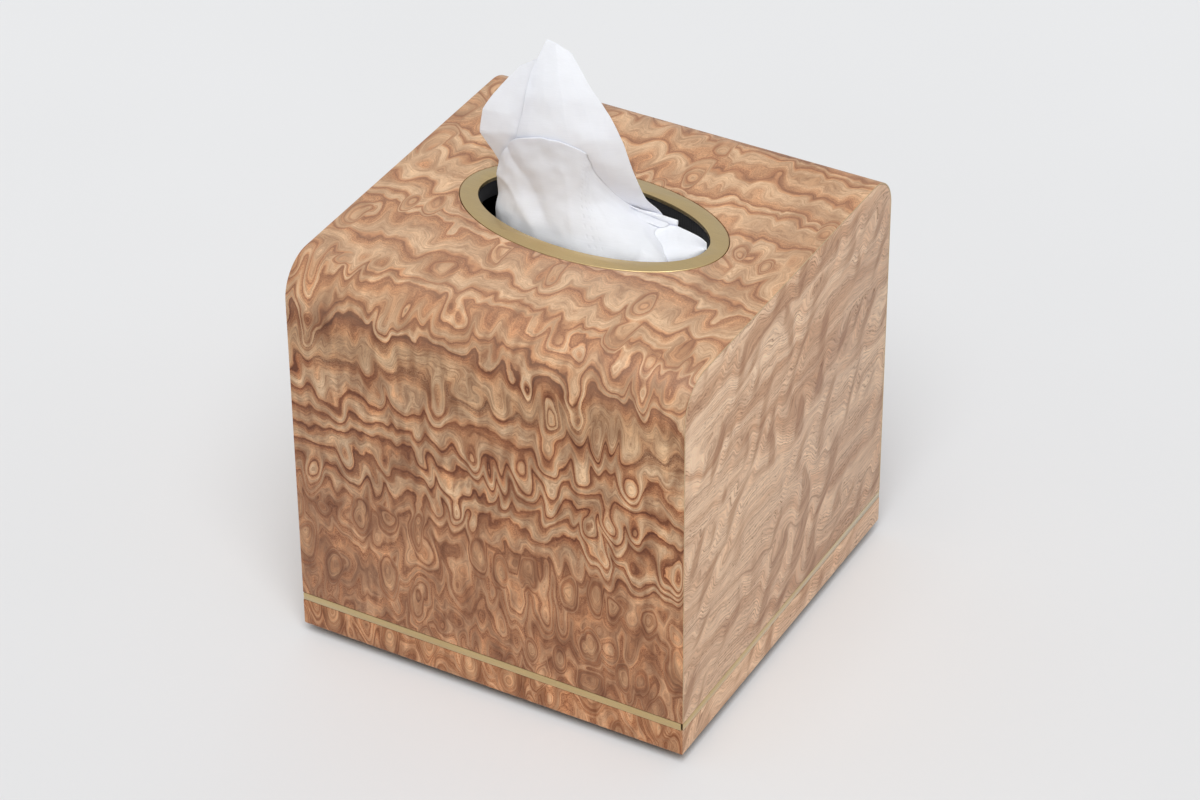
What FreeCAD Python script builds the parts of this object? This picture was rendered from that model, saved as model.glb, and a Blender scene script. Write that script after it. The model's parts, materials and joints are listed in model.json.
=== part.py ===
"""Tissue box cover: a veneered cube that lifts off a felted base, over the stack of tissues that it hides.

Millimetres, Z up, front towards -Y. The origin is on the table, under the middle of the box.
"""

import FreeCAD
import Part

import math
import os

Vector = FreeCAD.Vector

# Finished sizes of the cover
WIDTH = 140.0  # left to right, over the side veneers
DEPTH = 140.0  # front to back, over the wrapped veneer
HEIGHT = 143.5  # table to the top face
SHOULDER_RADIUS = 13.0  # rounded top edges at the front and the back
FOOT_RADIUS = 1.0  # eased lower outer edges
FLOOR_GAP = 3.5  # table to the lower edge of the cover

# Boards and their skins
CORE = 6.0  # board of the walls and the top
VENEER = 0.6  # wood skin outside
LINING = 0.5  # cloth skin inside
LINING_GAP = 0.5  # lower edge of the linings above the base board

# Brass strip let into all four sides
GROOVE_BOTTOM = 13.5  # table to the lower side of the groove
GROOVE_HEIGHT = 3.0
STRIP_THICKNESS = 1.2  # also the depth of the groove
STRIP_CLEARANCE = 0.1  # above and below the strip
MITRE_CLEARANCE = 0.1  # at each end of a strip

# Oval opening in the top
OPENING_LENGTH = 80.0  # left to right, inside the ring
OPENING_WIDTH = 40.0  # front to back, inside the ring
RING_WIDTH = 6.0
RING_THICKNESS = 1.5  # let in flush with the veneer
RING_CLEARANCE = 0.15  # round the outside of the ring
COLLAR_SETBACK = 0.3  # collar behind the inner edge of the ring
COLLAR_THICKNESS = 0.5  # cloth collar on the cut edge of the top board

# Base that the cover sits over
BASE_THICKNESS = 5.0
BASE_CLEARANCE = 0.3  # between the base board and the walls
FELT = 3.0  # felt sheet under the base board
FELT_MARGIN = 3.0  # felt short of the edge of the base board
BLOCK_LEG = 14.0  # three-cornered blocks in the lower corners of the cover
BLOCK_HEIGHT = 9.0
MAGNET_DIAMETER = 5.0
MAGNET_THICKNESS = 3.0

# Stack of folded tissues on the base
STACK_ROOM = 9.0  # between the stack and the linings
STACK_HEADROOM = 29.0  # above the stack, under the lined top
STACK_ROUNDING = 3.0  # upright edges of the stack

# Tissue pulled through the opening
TISSUE_CLEARANCE = 1.0  # inside the ring, on the way up
TISSUE_THICKNESS = 1.5  # folded plies and the air between them
TISSUE_RISE = 56.0  # tip above the top face

# Levels and half sizes that follow from the above
BASE_TOP = FELT + BASE_THICKNESS
GROOVE_TOP = GROOVE_BOTTOM + GROOVE_HEIGHT
CEILING = HEIGHT - VENEER - CORE
LINED_CEILING = CEILING - LINING
INNER_HALF_WIDTH = WIDTH / 2 - VENEER - CORE
INNER_HALF_DEPTH = DEPTH / 2 - VENEER - CORE
STACK_TOP = LINED_CEILING - STACK_HEADROOM
RING_SEAT = HEIGHT - RING_THICKNESS
COLLAR_INSIDE = COLLAR_SETBACK
COLLAR_OUTSIDE = COLLAR_SETBACK + COLLAR_THICKNESS
BEYOND = WIDTH + DEPTH + HEIGHT  # past the cover on every side, for cutting

# Folds of the pulled tissue, one row for each level from the stack to the tip.
# Left and right ends are (x, y) shares of the free half opening. The two bellies say how far the
# front ply stands forward of the line between the ends, at a third and at two thirds of its run.
TISSUE_FOLDS = (
    # level, left end, right end, left belly, right belly
    (STACK_TOP, (-0.67, -0.05), (0.67, 0.05), 0.30, 0.30),
    (LINED_CEILING, (-0.82, -0.26), (0.90, 0.10), 0.67, 0.83),
    (HEIGHT + 0.02 * TISSUE_RISE, (-0.82, -0.24), (0.67, 0.32), 0.58, 0.70),
    (HEIGHT + 0.16 * TISSUE_RISE, (-0.82, -0.21), (0.41, 0.21), 0.48, 0.42),
    (HEIGHT + 0.27 * TISSUE_RISE, (-0.79, -0.21), (0.36, 0.18), 0.40, 0.30),
    (HEIGHT + 0.40 * TISSUE_RISE, (-0.95, -0.26), (0.29, 0.16), 0.30, 0.28),
    (HEIGHT + 0.48 * TISSUE_RISE, (-0.95, -0.24), (0.24, 0.16), 0.05, 0.05),
    (HEIGHT + 0.71 * TISSUE_RISE, (-0.78, -0.05), (0.04, 0.16), 0.05, 0.05),
    (HEIGHT + TISSUE_RISE, (-0.46, 0.16), (-0.23, 0.16), 0.05, 0.05),
)


def both_ways(half):
    """Span that reaches half to each side of zero."""
    return (-half, half)


def block(x, y, z):
    """Box over the spans x, y and z, each a pair of low and high."""
    corner = Vector(x[0], y[0], z[0])
    return Part.makeBox(x[1] - x[0], y[1] - y[0], z[1] - z[0], corner)


def along_x(across, up):
    """Point of an outline that is drawn across the depth."""
    return Vector(0, across, up)


def along_y(across, up):
    """Point of an outline that is drawn across the width."""
    return Vector(across, 0, up)


def straight(place, start, end):
    """Straight edge between two outline points."""
    return Part.LineSegment(place(*start), place(*end)).toShape()


def quarter_arc(place, centre, radius, first):
    """Quarter circle about an outline point, from the angle first."""
    turns = (first, first + math.pi / 4, first + math.pi / 2)
    points = [
        place(centre[0] + radius * math.cos(turn), centre[1] + radius * math.sin(turn))
        for turn in turns
    ]
    return Part.Arc(*points).toShape()


def half_outline(place, half, top, shoulder, inset):
    """Edges of one side of the cover's outline, from the middle of the underside to the middle of the top.

    The outline is taken in by inset from the finished faces, apart from the underside, which keeps its level.
    """
    knee = half - FOOT_RADIUS
    foot_centre = (knee, FLOOR_GAP + FOOT_RADIUS)
    shoulder_centre = (half - shoulder, top - shoulder)
    edges = [
        straight(place, (0, FLOOR_GAP), (knee, FLOOR_GAP)),
        quarter_arc(place, foot_centre, FOOT_RADIUS - inset, -math.pi / 2),
    ]
    if inset > 0:
        edges.append(straight(place, (knee, FLOOR_GAP), (knee, FLOOR_GAP + inset)))
    side = half - inset
    edges.append(straight(place, (side, foot_centre[1]), (side, shoulder_centre[1])))
    edges.append(quarter_arc(place, shoulder_centre, shoulder - inset, 0))
    edges.append(straight(place, (shoulder_centre[0], top - inset), (0, top - inset)))
    return edges


def outline_face(place, half, top, inset):
    """Face of the whole outline, both sides of the middle."""
    right = half_outline(place, half, top, SHOULDER_RADIUS, inset)
    left = half_outline(
        lambda across, up: place(-across, up), half, top, SHOULDER_RADIUS, inset
    )
    return Part.Face(Part.Wire(Part.__sortEdges__(right + left)))


def wrap_form(inset):
    """Cover seen from the side, run over the whole width: round shoulders, eased lower edges."""
    face = outline_face(along_x, DEPTH / 2, HEIGHT, inset)
    face.translate(Vector(-WIDTH / 2, 0, 0))
    return face.extrude(Vector(WIDTH, 0, 0))


def side_form(inset):
    """Cover seen from the front, run over the whole depth: straight sides, eased lower edges.

    Its own round shoulders lie above the cover, so that they cut nothing.
    """
    face = outline_face(along_y, WIDTH / 2, HEIGHT + SHOULDER_RADIUS, inset)
    face.translate(Vector(0, -DEPTH / 2, 0))
    return face.extrude(Vector(0, DEPTH, 0))


def cavity(half_width, inset):
    """Hollow of the cover, open below, taken in by inset at the front, the top and the back."""
    half_depth = INNER_HALF_DEPTH - inset
    top = CEILING - inset
    hollow = block(both_ways(half_width), both_ways(half_depth), (-BEYOND, top))
    shoulders = [
        edge
        for edge in hollow.Edges
        if edge.BoundBox.ZMin > 0 and edge.BoundBox.YLength < edge.BoundBox.XLength
    ]
    return hollow.makeFillet(SHOULDER_RADIUS - VENEER - CORE - inset, shoulders)


def oval(grow, low, high):
    """Upright oval bar: the opening's outline, grown all round, between two levels."""
    ellipse = Part.Ellipse(
        Vector(0, 0, low), OPENING_LENGTH / 2 + grow, OPENING_WIDTH / 2 + grow
    )
    face = Part.Face(Part.Wire([ellipse.toShape()]))
    return face.extrude(Vector(0, 0, high - low))


def ring_recess():
    """Cut that lets the ring in flush."""
    return oval(RING_WIDTH + RING_CLEARANCE, RING_SEAT, HEIGHT + RING_THICKNESS)


def strip_groove():
    """Cut that runs round all four sides for the brass strips."""
    level = (GROOVE_BOTTOM, GROOVE_TOP)
    outside = block(both_ways(BEYOND), both_ways(BEYOND), level)
    inside = block(
        both_ways(WIDTH / 2 - STRIP_THICKNESS),
        both_ways(DEPTH / 2 - STRIP_THICKNESS),
        level,
    )
    return outside.cut(inside)


def at_corners(shape):
    """Four copies of a shape made in the right back corner, one for each corner."""
    right_front = shape.mirror(Vector(0, 0, 0), Vector(0, 1, 0))
    left_back = shape.mirror(Vector(0, 0, 0), Vector(1, 0, 0))
    left_front = right_front.mirror(Vector(0, 0, 0), Vector(1, 0, 0))
    return [shape, right_front, left_back, left_front]


def corner_magnet(low):
    """Disc magnet with its underside at low, inside the three-cornered block of the right back corner."""
    inset = BLOCK_LEG * (1 - math.sqrt(0.5))
    place = Vector(INNER_HALF_WIDTH - inset, INNER_HALF_DEPTH - inset, low)
    return Part.makeCylinder(MAGNET_DIAMETER / 2, MAGNET_THICKNESS, place)


def corner_block():
    """Three-cornered block that stands on the base board in the right back corner."""
    corner = Vector(INNER_HALF_WIDTH, INNER_HALF_DEPTH, BASE_TOP)
    points = [
        corner,
        corner - Vector(BLOCK_LEG, 0, 0),
        corner - Vector(0, BLOCK_LEG, 0),
        corner,
    ]
    return Part.Face(Part.makePolygon(points)).extrude(Vector(0, 0, BLOCK_HEIGHT))


def core_boards():
    """Seven boards of the cover: two sides, and front, back, top and their rounded shoulders between them."""
    solid = wrap_form(VENEER).common(side_form(VENEER))
    shell = solid.cut(cavity(INNER_HALF_WIDTH, 0)).cut(strip_groove())
    everywhere = both_ways(BEYOND)
    shoulder_level = HEIGHT - SHOULDER_RADIUS
    shoulder_line = DEPTH / 2 - SHOULDER_RADIUS
    left = block((-BEYOND, -INNER_HALF_WIDTH), everywhere, everywhere)
    right = block((INNER_HALF_WIDTH, BEYOND), everywhere, everywhere)
    between = shell.common(block(both_ways(INNER_HALF_WIDTH), everywhere, everywhere))
    front = block(everywhere, (-BEYOND, -shoulder_line), everywhere)
    back = block(everywhere, (shoulder_line, BEYOND), everywhere)
    low = block(everywhere, everywhere, (-BEYOND, shoulder_level))
    high = block(everywhere, everywhere, (shoulder_level, BEYOND))
    top = between.common(block(everywhere, both_ways(shoulder_line), everywhere))
    opening = oval(COLLAR_OUTSIDE, LINED_CEILING, HEIGHT)
    return {
        "left_panel": shell.common(left),
        "right_panel": shell.common(right),
        "front_panel": between.common(front).common(low),
        "back_panel": between.common(back).common(low),
        "front_shoulder": between.common(front).common(high),
        "back_shoulder": between.common(back).common(high),
        "top_panel": top.cut(ring_recess()).cut(opening),
    }


def veneers():
    """Wood skins: one wrapped over front, top and back, one on each side, and a plinth below the strips."""
    outer = wrap_form(0).common(side_form(0))
    wrapped = outer.cut(wrap_form(VENEER))
    sides = outer.common(wrap_form(VENEER)).cut(side_form(VENEER))
    everywhere = both_ways(BEYOND)
    above = block(everywhere, everywhere, (GROOVE_TOP, BEYOND))
    below = block(everywhere, everywhere, (-BEYOND, GROOVE_BOTTOM))
    left = block((-BEYOND, 0), everywhere, everywhere)
    right = block((0, BEYOND), everywhere, everywhere)
    front = block(everywhere, (-BEYOND, 0), everywhere)
    back = block(everywhere, (0, BEYOND), everywhere)
    return {
        "wrap_veneer": wrapped.common(above).cut(ring_recess()),
        "left_veneer": sides.common(above).common(left),
        "right_veneer": sides.common(above).common(right),
        "front_plinth_veneer": wrapped.common(below).common(front),
        "back_plinth_veneer": wrapped.common(below).common(back),
        "left_plinth_veneer": sides.common(below).common(left),
        "right_plinth_veneer": sides.common(below).common(right),
    }


def mitred_strip(half_run, reach, turn):
    """Brass strip with mitred ends, flush with the face that is reach from the middle, turned about Z."""
    outer = half_run - MITRE_CLEARANCE
    inner = outer - STRIP_THICKNESS
    low = GROOVE_BOTTOM + STRIP_CLEARANCE
    points = [
        Vector(-outer, -reach, low),
        Vector(outer, -reach, low),
        Vector(inner, STRIP_THICKNESS - reach, low),
        Vector(-inner, STRIP_THICKNESS - reach, low),
        Vector(-outer, -reach, low),
    ]
    height = GROOVE_HEIGHT - 2 * STRIP_CLEARANCE
    strip = Part.Face(Part.makePolygon(points)).extrude(Vector(0, 0, height))
    strip.rotate(Vector(0, 0, 0), Vector(0, 0, 1), turn)
    return strip


def brass_trim():
    """Four strips let into the sides, and the ring let into the top."""
    ring = oval(RING_WIDTH, RING_SEAT, HEIGHT).cut(oval(0, RING_SEAT, HEIGHT))
    return {
        "front_strip": mitred_strip(WIDTH / 2, DEPTH / 2, 0),
        "right_strip": mitred_strip(DEPTH / 2, WIDTH / 2, 90),
        "back_strip": mitred_strip(WIDTH / 2, DEPTH / 2, 180),
        "left_strip": mitred_strip(DEPTH / 2, WIDTH / 2, 270),
        "opening_ring": ring,
    }


def linings():
    """Cloth skins inside: one over front, top and back, one on each side, and the collar of the opening."""
    everywhere = both_ways(BEYOND)
    room = block(everywhere, everywhere, (BASE_TOP + LINING_GAP, BEYOND))
    wrapped = cavity(INNER_HALF_WIDTH, 0).cut(cavity(BEYOND, LINING)).common(room)
    lined = cavity(INNER_HALF_WIDTH, LINING).common(room)
    side = INNER_HALF_WIDTH - LINING
    left = lined.common(block((-BEYOND, -side), everywhere, everywhere))
    right = lined.common(block((side, BEYOND), everywhere, everywhere))
    for corner in at_corners(corner_block()):
        wrapped = wrapped.cut(corner)
        left = left.cut(corner)
        right = right.cut(corner)
    outside = oval(COLLAR_OUTSIDE, LINED_CEILING, RING_SEAT)
    inside = oval(COLLAR_INSIDE, LINED_CEILING, RING_SEAT)
    return {
        "wrap_lining": wrapped.cut(outside),
        "left_lining": left,
        "right_lining": right,
        "opening_collar": outside.cut(inside),
    }


def cover_corners():
    """Blocks in the lower corners of the cover, and the magnets in their undersides."""
    magnet = corner_magnet(BASE_TOP)
    return {
        "corner_blocks": Part.makeCompound(at_corners(corner_block().cut(magnet))),
        "cover_magnets": Part.makeCompound(at_corners(magnet)),
    }


def base():
    """Base board on its felt, with the magnets that hold the cover."""
    half_width = INNER_HALF_WIDTH - BASE_CLEARANCE
    half_depth = INNER_HALF_DEPTH - BASE_CLEARANCE
    board = block(both_ways(half_width), both_ways(half_depth), (FELT, BASE_TOP))
    magnets = at_corners(corner_magnet(BASE_TOP - MAGNET_THICKNESS))
    for magnet in magnets:
        board = board.cut(magnet)
    felt = block(
        both_ways(half_width - FELT_MARGIN),
        both_ways(half_depth - FELT_MARGIN),
        (0, FELT),
    )
    return {
        "base_board": board,
        "base_felt": felt,
        "base_magnets": Part.makeCompound(magnets),
    }


def tissue_stack():
    """Stack of folded tissues, standing free of the linings."""
    room = LINING + STACK_ROOM
    stack = block(
        both_ways(INNER_HALF_WIDTH - room),
        both_ways(INNER_HALF_DEPTH - room),
        (BASE_TOP, STACK_TOP),
    )
    upright = [edge for edge in stack.Edges if edge.BoundBox.ZLength > STACK_ROUNDING]
    return stack.makeFillet(STACK_ROUNDING, upright)


def fold_section(level, left, right, left_belly, right_belly):
    """Closed outline of the pulled tissue at one level: a bellied front ply and a flat back ply."""
    half_length = OPENING_LENGTH / 2 - TISSUE_CLEARANCE
    half_width = OPENING_WIDTH / 2 - TISSUE_CLEARANCE
    start = Vector(left[0] * half_length, left[1] * half_width, level)
    end = Vector(right[0] * half_length, right[1] * half_width, level)
    third = start + (end - start) / 3
    two_thirds = start + (end - start) * 2 / 3
    behind = Vector(0, TISSUE_THICKNESS, 0)
    points = [
        start,
        third - Vector(0, left_belly * half_width, 0),
        two_thirds - Vector(0, right_belly * half_width, 0),
        end,
        two_thirds + behind,
        third + behind,
        start,
    ]
    return Part.makePolygon(points)


def pulled_tissue():
    """Tissue drawn up through the opening: pouch of the front ply below, bare back ply and tip above."""
    sections = [fold_section(*row) for row in TISSUE_FOLDS]
    return Part.makeLoft(sections, True, True)


def main():
    """Build every piece and write one STEP file for each."""
    pieces = {}
    pieces.update(core_boards())
    pieces.update(veneers())
    pieces.update(brass_trim())
    pieces.update(linings())
    pieces.update(cover_corners())
    pieces.update(base())
    pieces["tissue_stack"] = tissue_stack()
    pieces["pulled_tissue"] = pulled_tissue()
    os.makedirs("parts", exist_ok=True)
    for name, shape in pieces.items():
        shape.exportStep(f"parts/{name}.step")


main()
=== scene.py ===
"""Looks of the tissue box cover: figured veneer, brass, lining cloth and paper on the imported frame.

Lengths are metres, Z up, front towards -Y. Fold lines and the values in node trees are millimetres.
"""

import json
import math
import random

import bmesh
import bpy
from mathutils import Matrix, Vector, noise

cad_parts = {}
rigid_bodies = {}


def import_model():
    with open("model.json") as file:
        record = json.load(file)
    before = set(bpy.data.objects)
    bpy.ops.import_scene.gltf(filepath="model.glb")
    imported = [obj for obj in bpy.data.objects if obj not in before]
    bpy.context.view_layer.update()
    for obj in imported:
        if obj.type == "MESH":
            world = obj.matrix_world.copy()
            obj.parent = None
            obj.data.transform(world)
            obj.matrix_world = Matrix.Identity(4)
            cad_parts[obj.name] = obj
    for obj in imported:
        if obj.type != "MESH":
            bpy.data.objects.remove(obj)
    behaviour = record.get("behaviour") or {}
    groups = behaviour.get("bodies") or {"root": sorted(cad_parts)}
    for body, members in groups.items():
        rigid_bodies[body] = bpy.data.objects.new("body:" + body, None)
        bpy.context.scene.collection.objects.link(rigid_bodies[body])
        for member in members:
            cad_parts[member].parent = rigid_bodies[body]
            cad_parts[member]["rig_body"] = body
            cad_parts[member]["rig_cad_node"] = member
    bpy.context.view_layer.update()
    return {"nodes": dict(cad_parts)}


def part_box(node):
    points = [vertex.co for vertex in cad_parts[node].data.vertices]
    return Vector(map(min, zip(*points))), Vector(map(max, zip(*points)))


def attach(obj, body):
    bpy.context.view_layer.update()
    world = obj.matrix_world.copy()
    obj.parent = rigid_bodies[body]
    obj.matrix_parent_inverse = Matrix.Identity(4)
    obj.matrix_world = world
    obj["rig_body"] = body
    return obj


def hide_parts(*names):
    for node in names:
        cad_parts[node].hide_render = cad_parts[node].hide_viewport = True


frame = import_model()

bl_info = {
    "name": "Tissue box cover looks",
    "version": (1, 0, 0),
    "blender": (4, 5, 0),
    "location": "View3D > Sidebar > Tissue cover",
    "description": "Dresses the packed tissue box cover in veneer, brass, cloth and paper",
    "category": "Object",
}

MM = 0.001
SEED = 4  # of the random draws and the noise, so that each run gives the same paper
DRAWN = 0.1  # side of the part of a tissue that is drawn out
NEAR_AXIS = 0.9  # part of a direction's length along an axis from which it counts as along it
WRAP_LOW, WRAP_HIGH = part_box("wrap_veneer")
PLINTH_LOW, PLINTH_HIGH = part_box("front_plinth_veneer")
STRIP_LOW, STRIP_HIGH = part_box("front_strip")
RING_LOW, RING_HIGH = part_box("opening_ring")
STACK_LOW, STACK_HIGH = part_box("tissue_stack")


def srgb(red, green, blue):
    """Linear colour of an sRGB one given in 0 to 255."""

    def linear(value):
        value /= 255
        return value / 12.92 if value <= 0.04045 else ((value + 0.055) / 1.055) ** 2.4

    return (linear(red), linear(green), linear(blue))


def length(name, description, default):
    """Length property in metres."""
    return bpy.props.FloatProperty(
        name=name, description=description, default=default, unit="LENGTH", precision=5
    )


def colour(name, description, default):
    """Colour property, linear."""
    return bpy.props.FloatVectorProperty(
        name=name, description=description, default=default, subtype="COLOR", size=3, min=0, max=1
    )


class TissueCoverSizes(bpy.types.PropertyGroup):
    """Sizes of the dressed pieces."""

    shoulder: length("Shoulder", "Radius of the rounded top edges", 0.013)
    foot: length("Foot", "Radius of the eased lower edges", 0.001)
    veneer: length("Veneer", "Thickness of the wood skins", 0.0006)
    ease: length("Ease", "Rounding of the cut edges of veneer and brass", 0.00016)
    strip: length("Strip", "Thickness of the brass strips", 0.0012)
    slot: length("Strip slot", "Open end of the groove at the right of each strip", 0.0006)
    ring_width: length("Ring width", "Width of the brass ring's face", 0.006)
    ring_gap: length("Ring gap", "Gap round the outside of the ring", 0.0003)
    cloth_ease: length("Cloth ease", "Rounding of the lining's cut edges", 0.0001)
    felt_corner: length("Felt corner", "Radius of the felt's corners", 0.004)
    felt_ease: length("Felt ease", "Rounding of the felt's cut edges", 0.0003)
    paper: length("Paper", "Thickness of one tissue, two plies", 0.00014)
    folded: length("Folded tissue", "Height of one folded tissue in the pile", 0.0021)
    pile_corner: length("Pile corner", "Radius of a folded tissue's corners", 0.003)
    pile_shy: length("Pile shyness", "Room for the folded tissues to lie unevenly", 0.0009)


class TissueCoverColours(bpy.types.PropertyGroup):
    """Colours of the finishes."""

    pale: colour("Pale layers", "Figured veneer between the lines", srgb(216, 182, 147))
    mid: colour("Middle layers", "Figured veneer, middle tone", srgb(208, 156, 114))
    brown: colour("Brown layers", "Figured veneer beside the lines", srgb(173, 115, 78))
    line: colour("Lines", "Dark lines and pores of the veneer", srgb(116, 64, 36))
    ground: colour("Ground", "Browner wood at the foot", srgb(195, 142, 103))
    band: colour("Band", "Pale band under the shoulder", srgb(208, 172, 134))
    eye: colour("Eyes", "Middles of the eyes", srgb(207, 165, 126))
    # Crown is the top's pale wood and also serves as painted sheen on the shoulder and top
    crown: colour("Crown", "Pale wood on the top", srgb(222, 187, 156))
    side_pale: colour("Side, pale", "Straight-grained veneer, pale bands", srgb(253, 219, 186))
    side: colour("Side, middle", "Straight-grained veneer", srgb(234, 195, 161))
    side_shade: colour("Side, shade", "Straight-grained veneer, brown bands", srgb(212, 167, 132))
    side_line: colour("Side lines", "Grain of the side veneer", srgb(160, 110, 79))
    edge: colour("Veneer edge", "Cut edge of the veneer", srgb(222, 192, 150))
    brass: colour("Brass", "Brushed brass", (0.66, 0.49, 0.225))
    cloth: colour("Lining", "Black lining cloth", (0.012, 0.012, 0.014))
    felt: colour("Felt", "Felt under the base", (0.014, 0.014, 0.014))
    core: colour("Core board", "Boards under the veneer", (0.32, 0.2, 0.11))
    base: colour("Base board", "Stained base board", (0.02, 0.02, 0.02))
    magnet: colour("Magnet", "Plated magnets", (0.7, 0.7, 0.7))
    tissue: colour("Tissue", "White tissue paper", (0.848, 0.87, 0.98))
    floor: colour("Floor", "Pale studio floor", (0.795, 0.803, 0.815))


def sizes():
    return bpy.context.scene.tissue_cover_sizes


def colours():
    return bpy.context.scene.tissue_cover_colours


# Modelling


def deselect():
    """Object mode with nothing selected."""
    if bpy.context.object and bpy.context.object.mode != "OBJECT":
        bpy.ops.object.mode_set(mode="OBJECT")
    bpy.ops.object.select_all(action="DESELECT")


def make_active(piece):
    deselect()
    piece.hide_set(False)
    piece.select_set(True)
    bpy.context.view_layer.objects.active = piece


def named(name):
    """Gives the new primitive its name and puts its place into its mesh."""
    made = bpy.context.object
    made.name = name
    made.data.name = name
    bpy.ops.object.transform_apply(location=True, rotation=True, scale=True)
    return made


def block(name, low, high):
    """Cube between two corners."""
    low, high = Vector(low), Vector(high)
    deselect()
    bpy.ops.mesh.primitive_cube_add(size=1, location=(low + high) / 2, scale=high - low)
    return named(name)


def oval_bar(name, half_length, half_width, low, high, sides=160):
    """Upright oval bar about the Z axis."""
    deselect()
    middle, scale = (0, 0, (low + high) / 2), (half_length, half_width, 1)
    bpy.ops.mesh.primitive_cylinder_add(
        vertices=sides, radius=1, depth=high - low, location=middle, scale=scale
    )
    return named(name)


def edit(piece, action="SELECT"):
    """Edit mode with everything selected, or nothing."""
    make_active(piece)
    bpy.ops.object.mode_set(mode="EDIT")
    bpy.ops.mesh.select_all(action=action)


def choose(piece, kind, test):
    """Selects, in edit mode, the faces or edges whose middle and direction pass the test."""
    edit(piece, "DESELECT")
    bpy.ops.mesh.select_mode(type=kind)
    form = bmesh.from_edit_mesh(piece.data)
    form.normal_update()
    if kind == "FACE":
        for face in form.faces:
            face.select_set(test(face.calc_center_median(), face.normal))
    else:
        for edge in form.edges:
            start, end = (corner.co for corner in edge.verts)
            edge.select_set(test((start + end) / 2, (end - start).normalized()))
    form.select_flush_mode()
    bmesh.update_edit_mesh(piece.data)


def done():
    bpy.ops.object.mode_set(mode="OBJECT")


def round_edges(piece, test, radius, segments):
    choose(piece, "EDGE", test)
    bpy.ops.mesh.bevel(offset=radius, segments=segments, affect="EDGES", profile=0.5)
    done()


def round_shoulders(piece, top, radius):
    """Rounds the front and back edges of the top."""
    round_edges(piece, lambda at, way: abs(way.x) > NEAR_AXIS and at.z > top - MM, radius, 16)


def drop_faces(piece, test):
    choose(piece, "FACE", test)
    bpy.ops.mesh.delete(type="FACE")
    done()


def finish_with(piece, kind, **settings):
    """Adds one modifier and applies it."""
    make_active(piece)
    added = piece.modifiers.new(kind.title(), kind)
    for name, value in settings.items():
        setattr(added, name, value)
    bpy.ops.object.modifier_apply(modifier=added.name)


def thicken(piece, thickness, offset=-1):
    finish_with(piece, "SOLIDIFY", thickness=thickness, offset=offset, use_even_offset=True)


def ease_edges(piece, width, segments=2):
    """Rounds the sharp edges a little and shades the rest smooth."""
    sharp = {"limit_method": "ANGLE", "angle_limit": math.radians(40)}
    finish_with(piece, "BEVEL", width=width, segments=segments, **sharp)
    bpy.ops.object.shade_smooth_by_angle(angle=math.radians(35))


def copied(piece, name):
    """Copy with its own mesh."""
    made = piece.copy()
    made.data = piece.data.copy()
    made.name = name
    made.data.name = name
    bpy.context.scene.collection.objects.link(made)
    return made


def joined(parts):
    """Joins the parts into the first of them."""
    deselect()
    for part in parts:
        part.select_set(True)
    bpy.context.view_layer.objects.active = parts[0]
    bpy.ops.object.join()
    return parts[0]


def cut_out(piece, cutter):
    """Takes the cutter's form out of a piece and throws the cutter away."""
    finish_with(piece, "BOOLEAN", operation="DIFFERENCE", object=cutter, solver="EXACT")
    mesh = cutter.data
    bpy.data.objects.remove(cutter)
    bpy.data.meshes.remove(mesh)


def merged_copy(node, name):
    """Copy of a CAD node, its loose triangles merged and its flat faces joined up."""
    made = copied(frame["nodes"][node], name)
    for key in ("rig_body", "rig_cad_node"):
        del made[key]
    made.parent = None
    made.data.materials.clear()
    edit(made)
    bpy.ops.mesh.remove_doubles(threshold=1e-6)
    bpy.ops.mesh.dissolve_limited(angle_limit=math.radians(1))
    done()
    return made


def cut_mitre(piece, corner, outward):
    """Trims a piece at an upright plane through a corner and closes the cut."""
    edit(piece)
    bpy.ops.mesh.bisect(
        plane_co=corner, plane_no=outward, clear_outer=True, use_fill=True, threshold=1e-7
    )
    done()


def dressed(piece, body, material, slot, *nodes):
    """Gives a finished piece its material, its body and the nodes that it stands for."""
    piece.data.materials.clear()
    piece.data.materials.append(material)
    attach(piece, body)
    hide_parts(*nodes)
    return piece


# Node trees


def socket_name(word):
    """Socket that a keyword stands for."""
    return word.replace("_", " ").title().replace("Ior", "IOR")


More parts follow.
